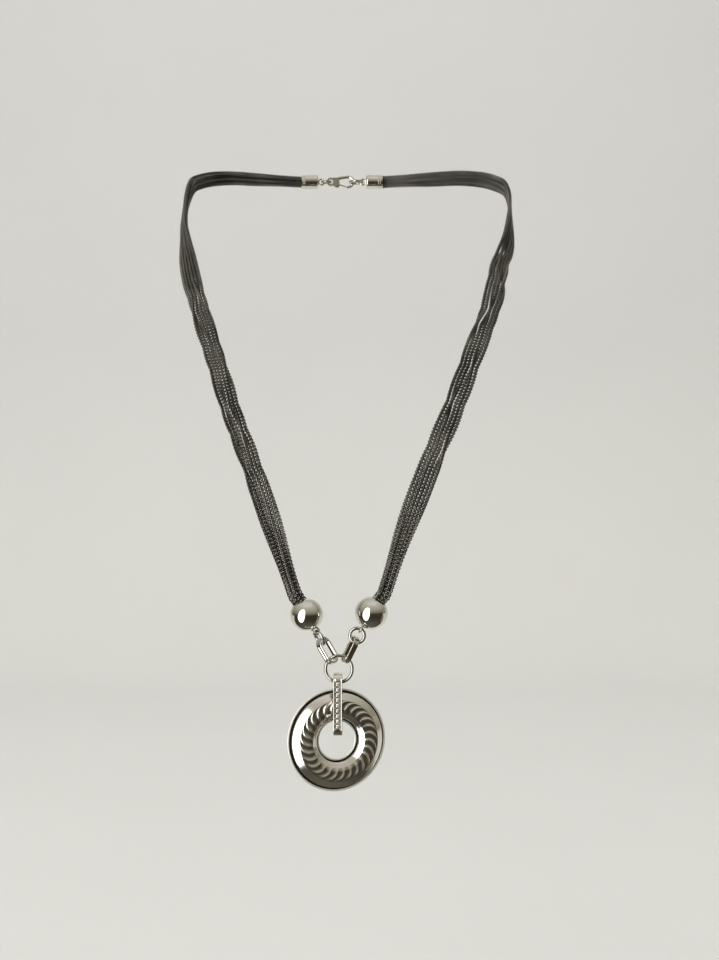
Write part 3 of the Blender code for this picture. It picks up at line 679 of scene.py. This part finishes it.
def make_bail():
    """The band, with a channel down its front leg that the stones sit in."""
    front, side, up = Vector((0.0, -1.0, 0.0)), Vector((1.0, 0.0, 0.0)), Vector((0.0, 0.0, 1.0))
    placement = frame_matrix(BAIL_CENTRE, front, up)
    path, outward = rounded_loop(BAIL_DEPTH, BAIL_H, BAIL_CORNER, 0.2)
    in_front = path[:, 0] > BAIL_DEPTH / 2 - 0.05
    beside_stones = np.abs(path[:, 1]) < CRYSTALS * CRYSTAL_PITCH / 2 + 0.1
    depths = np.where(in_front & beside_stones, CHANNEL_DEPTH, PLAIN_DEPTH)
    sections = np.array([bail_section(depth) for depth in depths])
    grid = swept(path, outward, np.array((0.0, 0.0, 1.0)), sections)
    mesh = mesh_from("bail_band", [grid])
    add_piece("bail_band", mesh, POLISHED, "bail", ["bail_frame"], matrix=placement, sharp=50.0)
    make_stones(front, side, up)


def stone_grid():
    """A cushion-shaped cut stone, table up along Z."""
    reach_out = CRYSTAL_R * STONE_FIT
    rings = (
        (0.46, 0.30, 8, 22.5), (0.72, 0.2, 8, 0.0), (0.985, 0.04, 16, 0.0), (0.985, -0.04, 16, 0.0),
        (0.3, -0.5, 16, 0.0), (0.02, -0.52, 16, 0.0),
    )
    loops = []
    for radius, height, corners, start in rings:
        loop = []
        for step in range(STONE_POINTS):
            corner = step // (STONE_POINTS // corners)
            angle = math.radians(start + 360.0 * corner / corners)
            reach = reach_out * radius * superellipse_reach(angle, STONE_SQUARENESS)
            loop.append((reach * math.cos(angle), reach * math.sin(angle), height))
        loops.append(loop)
    middle_of_table = [(x * 0.02, y * 0.02, z) for x, y, z in loops[0]]
    return np.array([middle_of_table, *loops]).transpose(1, 0, 2)


def bead_grid(centre, radius, steps=12, rows=8):
    """A small ball."""
    polar = np.linspace(0.04, math.pi - 0.04, rows)
    profile = np.stack([radius * np.sin(polar), radius * np.cos(polar)], axis=1)[::-1]
    return turned(profile, steps) + np.array(centre)


def make_stones(front, side, up):
    """The row of stones, and a pair of setting beads above, between and below them."""
    face = vec(BAIL_CENTRE) + (BAIL_DEPTH / 2 - 0.1) * front
    for index in range(CRYSTALS):
        height = ((CRYSTALS - 1) / 2 - index) * CRYSTAL_PITCH
        placement = frame_matrix(face + height * up, side, up)
        node = f"bail_crystal_{index + 1}"
        mesh = mesh_from(node + "_cut", [stone_grid()])
        add_piece(node + "_cut", mesh, STONE, "bail", [node], placement, sharp=8.0)
    beads = []
    for index in range(CRYSTALS + 1):
        height = (CRYSTALS / 2 - index) * CRYSTAL_PITCH
        for across in (-BEAD_ACROSS, BEAD_ACROSS):
            beads.append(bead_grid((across, height, 0.12), BEAD_R))
    mesh = mesh_from("bail_setting_beads", beads)
    add_piece("bail_setting_beads", mesh, POLISHED, "bail", [], matrix=frame_matrix(face, side, up))


# ---- rings, links and balls ----


def link_section():
    """The oval link's band, as (out, across): soft edges and a slightly hollowed outer face."""
    half, soft, inside = LINK_DEPTH / 2, 0.14, -LINK_T
    return [
        (inside, -half + soft), (inside, half - soft), (inside + 0.05, half - 0.04), (inside + 0.16, half),
        (-0.16, half), (-0.05, half - 0.04), (0.0, half - soft),
        (-0.07, 0.35), (-0.09, 0.0), (-0.07, -0.35),
        (0.0, soft - half), (-0.05, 0.04 - half), (-0.16, -half),
        (inside + 0.16, -half), (inside + 0.05, 0.04 - half),
    ]


def make_ring_and_link(name, side):
    """The small ring below a ball, and the oval link that hangs in it."""
    up = tilted_up(side, side["ball_tilt"])
    ring = mesh_from(f"{name}_jump_ring", [jump_ring(SMALL_RING_R, SMALL_WIRE_R, 200.0)])
    add_piece(f"{name}_jump_ring", ring, RING_STEEL, f"{name}_ring", [f"{name}_ring"],
              matrix=turned_frame(side["ring_centre"], up, side["ring_turn"]))
    along = tilted_up(side, side["link_tilt"])
    path, outward = rounded_loop(LINK_W, LINK_L, LINK_W / 2 - 0.01, 0.2)
    grid = swept(path, outward, np.array((0.0, 0.0, 1.0)), np.array(link_section()))
    link = mesh_from(f"{name}_oval_link", [grid])
    add_piece(f"{name}_oval_link", link, POLISHED, f"{name}_link", [f"{name}_link"],
              matrix=turned_frame(side["link_centre"], along, side["link_turn"]), sharp=50.0)


def ball_profile():
    """Outer arc from the pin hole up to the mouth, over a rolled lip, then back down inside."""
    inner_r = BALL_R - BALL_WALL
    low, high = math.pi - math.asin(BALL_PIN_HOLE_R / BALL_R), math.asin(BALL_MOUTH_R / BALL_R) + 0.03
    outer = [(BALL_R * math.sin(a), BALL_R * math.cos(a)) for a in np.linspace(low, high, 64)]
    start, end = math.asin(BALL_MOUTH_R / inner_r) + 0.03, math.pi - math.asin(BALL_PIN_HOLE_R / inner_r)
    inner = [(inner_r * math.sin(a), inner_r * math.cos(a)) for a in np.linspace(start, end, 32)]
    lip_top = ((BALL_MOUTH_R + 0.03, outer[-1][1] - 0.06), (BALL_MOUTH_R - 0.02, outer[-1][1] - 0.2))
    return [*outer, *lip_top, *inner]


def wrapped_wire(bottom, top, radius, wire_r, turns):
    """Wire wound round Z between two heights."""
    angle = np.linspace(0.0, turns * math.tau, int(turns * 20))
    return tube(np.stack([radius * np.cos(angle), radius * np.sin(angle),
                          np.linspace(bottom, top, len(angle))], axis=1), wire_r, 10)


def make_ball(name, side):
    """A ball, the cup inside it that the chains end in, and its eye pin."""
    up = tilted_up(side, side["ball_tilt"])
    level = up.cross(Vector((0.0, 1.0, 0.0)))
    placement = frame_matrix(ball_centre(side), level, up.cross(level))
    ball = mesh_from(f"{name}_ball_shell", [turned(ball_profile(), 128)])
    add_piece(f"{name}_ball_shell", ball, POLISHED, "root", [f"{name}_ball"], matrix=placement, sharp=50.0)
    outside, under = CUP_R + CUP_WALL, CUP_FLOOR - CUP_WALL
    cup = [
        (0.02, under), (outside, under), (outside, CUP_RIM - 0.1), (outside - 0.1, CUP_RIM),
        (CUP_R + 0.1, CUP_RIM), (CUP_R, CUP_RIM - 0.1), (CUP_R, CUP_FLOOR), (0.02, CUP_FLOOR),
    ]
    mesh = mesh_from(f"{name}_cup_turned", [turned(cup, 64)])
    add_piece(f"{name}_cup_turned", mesh, RING_STEEL, "root", [f"{name}_strand_cup"], matrix=placement)
    make_eye_pin(name, side, placement)


def make_eye_pin(name, side, placement):
    """A wire eye below the ball, its tail wrapped round the shank."""
    eye_centre = SMALL_RING_R - SMALL_WIRE_R - EYE_WIRE_R - EYE_PLAY + EYE_R - RING_TO_BALL
    turn = math.radians(side["ring_turn"] + 90.0)
    angle = np.linspace(math.radians(110.0), math.radians(430.0), 60)
    eye = [(EYE_R * math.cos(a) * math.cos(turn), EYE_R * math.cos(a) * math.sin(turn),
            eye_centre + EYE_R * math.sin(a)) for a in angle]
    neck = eye_centre + EYE_R
    top = CUP_FLOOR - CUP_WALL - 0.12
    shank = tube([(0.0, 0.0, z) for z in np.linspace(neck - 0.25, top - 0.5, 12)], 0.42, 16)
    head = tube([(0.0, 0.0, z) for z in np.linspace(top - 0.5, top, 4)], 0.95, 24)
    wrap = wrapped_wire(neck + 0.1, neck + 1.15, 0.62, 0.24, 2.4)
    mesh = mesh_from(f"{name}_wire_eye", [tube(eye, EYE_WIRE_R, 14), shank, head, wrap])
    add_piece(f"{name}_wire_eye", mesh, RING_STEEL, "root", [f"{name}_eye_pin"], matrix=placement)


# ---- nape ----


def make_end_cap(name, side):
    """A turned cap with two ridges at its mouth and a wire eye at its closed end."""
    inward = Vector((-side["sign"], 0.0, 0.0))
    mouth = vec(NAPE) + Vector((side["sign"] * CAP_MOUTH_X, 0.0, 0.0))
    placement = frame_matrix(mouth, Vector((0.0, 1.0, 0.0)), inward.cross(Vector((0.0, 1.0, 0.0))))
    profile = [(CAP_BORE_R, 0.12), (CAP_BORE_R + 0.12, 0.0), (CAP_R - 0.12, 0.0), (CAP_R, 0.12)]
    for ridge in (0.9, 1.7):
        profile += [(CAP_R, ridge - 0.25), (CAP_R - 0.16, ridge - 0.12), (CAP_R - 0.16, ridge + 0.12),
                    (CAP_R, ridge + 0.25)]
    profile += [(CAP_R + 0.9 * (math.cos(a) - 1), CAP_L - 0.9 + 0.9 * math.sin(a))
                for a in np.linspace(0.0, math.pi / 2, 10)]
    profile += [(0.02, CAP_L), (0.02, CAP_L - 1.0), (CAP_BORE_R, CAP_L - 1.0)]
    wire = [(CAP_EYE_R + CAP_EYE_WIRE_R * math.cos(a), CAP_EYE_WIRE_R * math.sin(a))
            for a in np.arange(16) * math.tau / 16]
    eye = turned(wire, 64)[..., [2, 0, 1]] + np.array((0.0, 0.0, CAP_L + CAP_EYE_R))
    mesh = mesh_from(f"{name}_cap_turned", [turned(profile, 96), eye])
    add_piece(f"{name}_cap_turned", mesh, POLISHED, "root", [f"{name}_end_cap"],
              matrix=placement, sharp=30.0)


def make_nape_rings():
    """The rings on both sides of the clasp, each drawn tight against its cap's eye."""
    eye_inner_x = CAP_MOUTH_X - CAP_L - 2 * CAP_EYE_R
    places = {
        "clasp_ring": (CLASP_RING_R, CLASP_RING_WIRE_R,
                       -eye_inner_x - CAP_EYE_WIRE_R - CLASP_RING_WIRE_R - 0.1 + CLASP_RING_R),
        "catch_ring": (CATCH_RING_R, CATCH_RING_WIRE_R,
                       eye_inner_x + CAP_EYE_WIRE_R + CATCH_RING_WIRE_R + 0.1 - CATCH_RING_R),
    }
    for node, (major_r, wire_r, x) in places.items():
        mesh = mesh_from(node + "_wire", [jump_ring(major_r, wire_r, 90.0)])
        place = Matrix.Translation((vec(NAPE) + Vector((x, 0.0, 0.0))) * MM)
        add_piece(node + "_wire", mesh, RING_STEEL, node, [node], matrix=place)


def dress_clasp():
    """The clasp's CAD parts are shown as they are, in the scene's metals."""
    for node in ("clasp_body", "clasp_lever", "clasp_pin", "clasp_spring"):
        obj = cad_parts[node]
        for slot in obj.material_slots:
            slot.material = POLISHED if node != "clasp_spring" else RING_STEEL


# ---- studio ----


def make_sweep():
    """A pale floor that curves up into the backdrop behind the necklace."""
    floor_z, back_y, radius, front_y, top_z, half_w = -0.34, 1.3, 0.4, 0.0, 2.0, 2.6
    line = [(front_y, floor_z)]
    line += [(back_y - radius + radius * math.sin(a), floor_z + radius - radius * math.cos(a))
             for a in np.linspace(0.0, math.pi / 2, 24)]
    line.append((back_y, top_z))
    points = [(x, y, z) for x in (-half_w, half_w) for y, z in line]
    count = len(line)
    faces = np.array([(i, count + i, count + i + 1, i + 1) for i in range(count - 1)])
    mesh = mesh_of("backdrop_sweep", np.array(points), faces)
    mesh.shade_smooth()
    mesh.materials.append(paper("backdrop_paper", (0.8, 0.803, 0.806)))
    sweep = bpy.data.objects.new("backdrop_sweep", mesh)
    bpy.context.scene.collection.objects.link(sweep)


def add_light(name, azimuth, elevation, distance, width, height, power, colour,
              aim=(0.0, -0.09, -0.2), lean=0.0, mirrored=True):
    """A soft panel facing the necklace; azimuth 0 is the camera's side and grows to the right."""
    a, e = math.radians(azimuth), math.radians(elevation)
    back = Vector((math.sin(a) * math.cos(e), -math.cos(a) * math.cos(e), math.sin(e)))
    data = bpy.data.lights.new(name, "AREA")
    data.shape = "ELLIPSE"
    data.size, data.size_y = width, height
    data.energy = power
    data.color = colour
    lamp = bpy.data.objects.new(name, data)
    lamp.location = Vector(aim) + back * distance
    upright = back.to_track_quat("Z", "Y").to_matrix()
    lamp.rotation_euler = (upright @ Matrix.Rotation(math.radians(lean), 3, "Z")).to_euler()
    lamp.visible_glossy = mirrored
    bpy.context.scene.collection.objects.link(lamp)


def make_world():
    """What the metal mirrors: dark below the horizon, paler up to the ceiling; plain and pale to look at."""
    world = bpy.data.worlds.new("room")
    bpy.context.scene.world = world
    world.use_nodes = True
    nodes, links = world.node_tree.nodes, world.node_tree.links
    place = nodes.new("ShaderNodeTexCoord")
    split = nodes.new("ShaderNodeSeparateXYZ")
    links.new(place.outputs["Generated"], split.inputs["Vector"])
    lift = nodes.new("ShaderNodeMapRange")
    lift.inputs["From Min"].default_value = -1.0
    links.new(split.outputs["Z"], lift.inputs["Value"])
    sky = ramp_of(nodes, (
        (0.0, (0.12, 0.108, 0.085)), (0.12, (0.07, 0.062, 0.048)), (0.28, (0.045, 0.038, 0.028)),
        (0.48, (0.05, 0.044, 0.032)), (0.56, (0.2, 0.187, 0.14)), (0.75, (0.42, 0.4, 0.325)),
        (0.95, (0.6, 0.585, 0.53)),
    ))
    links.new(lift.outputs["Result"], sky.inputs["Fac"])
    links.new(sky.outputs["Color"], nodes["Background"].inputs["Color"])
    pale = nodes.new("ShaderNodeBackground")
    pale.inputs["Color"].default_value = (0.6, 0.598, 0.59, 1.0)
    seen = nodes.new("ShaderNodeLightPath")
    choose = nodes.new("ShaderNodeMixShader")
    links.new(seen.outputs["Is Camera Ray"], choose.inputs["Fac"])
    links.new(nodes["Background"].outputs["Background"], choose.inputs[1])
    links.new(pale.outputs["Background"], choose.inputs[2])
    links.new(choose.outputs["Shader"], nodes["World Output"].inputs["Surface"])


def make_studio():
    make_sweep()
    make_world()
    add_light("window", -36.0, -3.0, 1.3, 1.15, 2.6, 24.0, (1.0, 0.99, 0.965), lean=-14.0)
    add_light("room_side", 105.0, -15.0, 1.5, 1.2, 1.6, 1.0, (0.8, 0.68, 0.5))
    add_light("overhead", 20.0, 78.0, 2.2, 2.2, 1.6, 1.0, (1.0, 0.98, 0.94))
    add_light("backdrop_wash", 0.0, 55.0, 2.2, 3.0, 0.5, 16.0, (1.0, 0.995, 0.985), aim=(0.0, 1.1, -0.1),
              mirrored=False)
    bpy.context.scene.view_settings.view_transform = "Standard"


def main():
    make_camera()
    make_chains()
    placement = pendant_frame()
    make_dome(placement)
    make_plate(placement)
    make_bail()
    centre = mesh_from("centre_jump_ring", [jump_ring(CENTRE_RING_R, CENTRE_WIRE_R, 60.0, 128)])
    add_piece("centre_jump_ring", centre, RING_STEEL, "centre_ring", ["centre_ring"],
              matrix=turned_frame(CENTRE_RING, Vector((0.0, 0.0, 1.0)), 0.0))
    for name, side_of in SIDES.items():
        make_ring_and_link(name, side_of)
        make_ball(name, side_of)
        make_end_cap(name, side_of)
    make_nape_rings()
    dress_clasp()
    make_studio()


main()
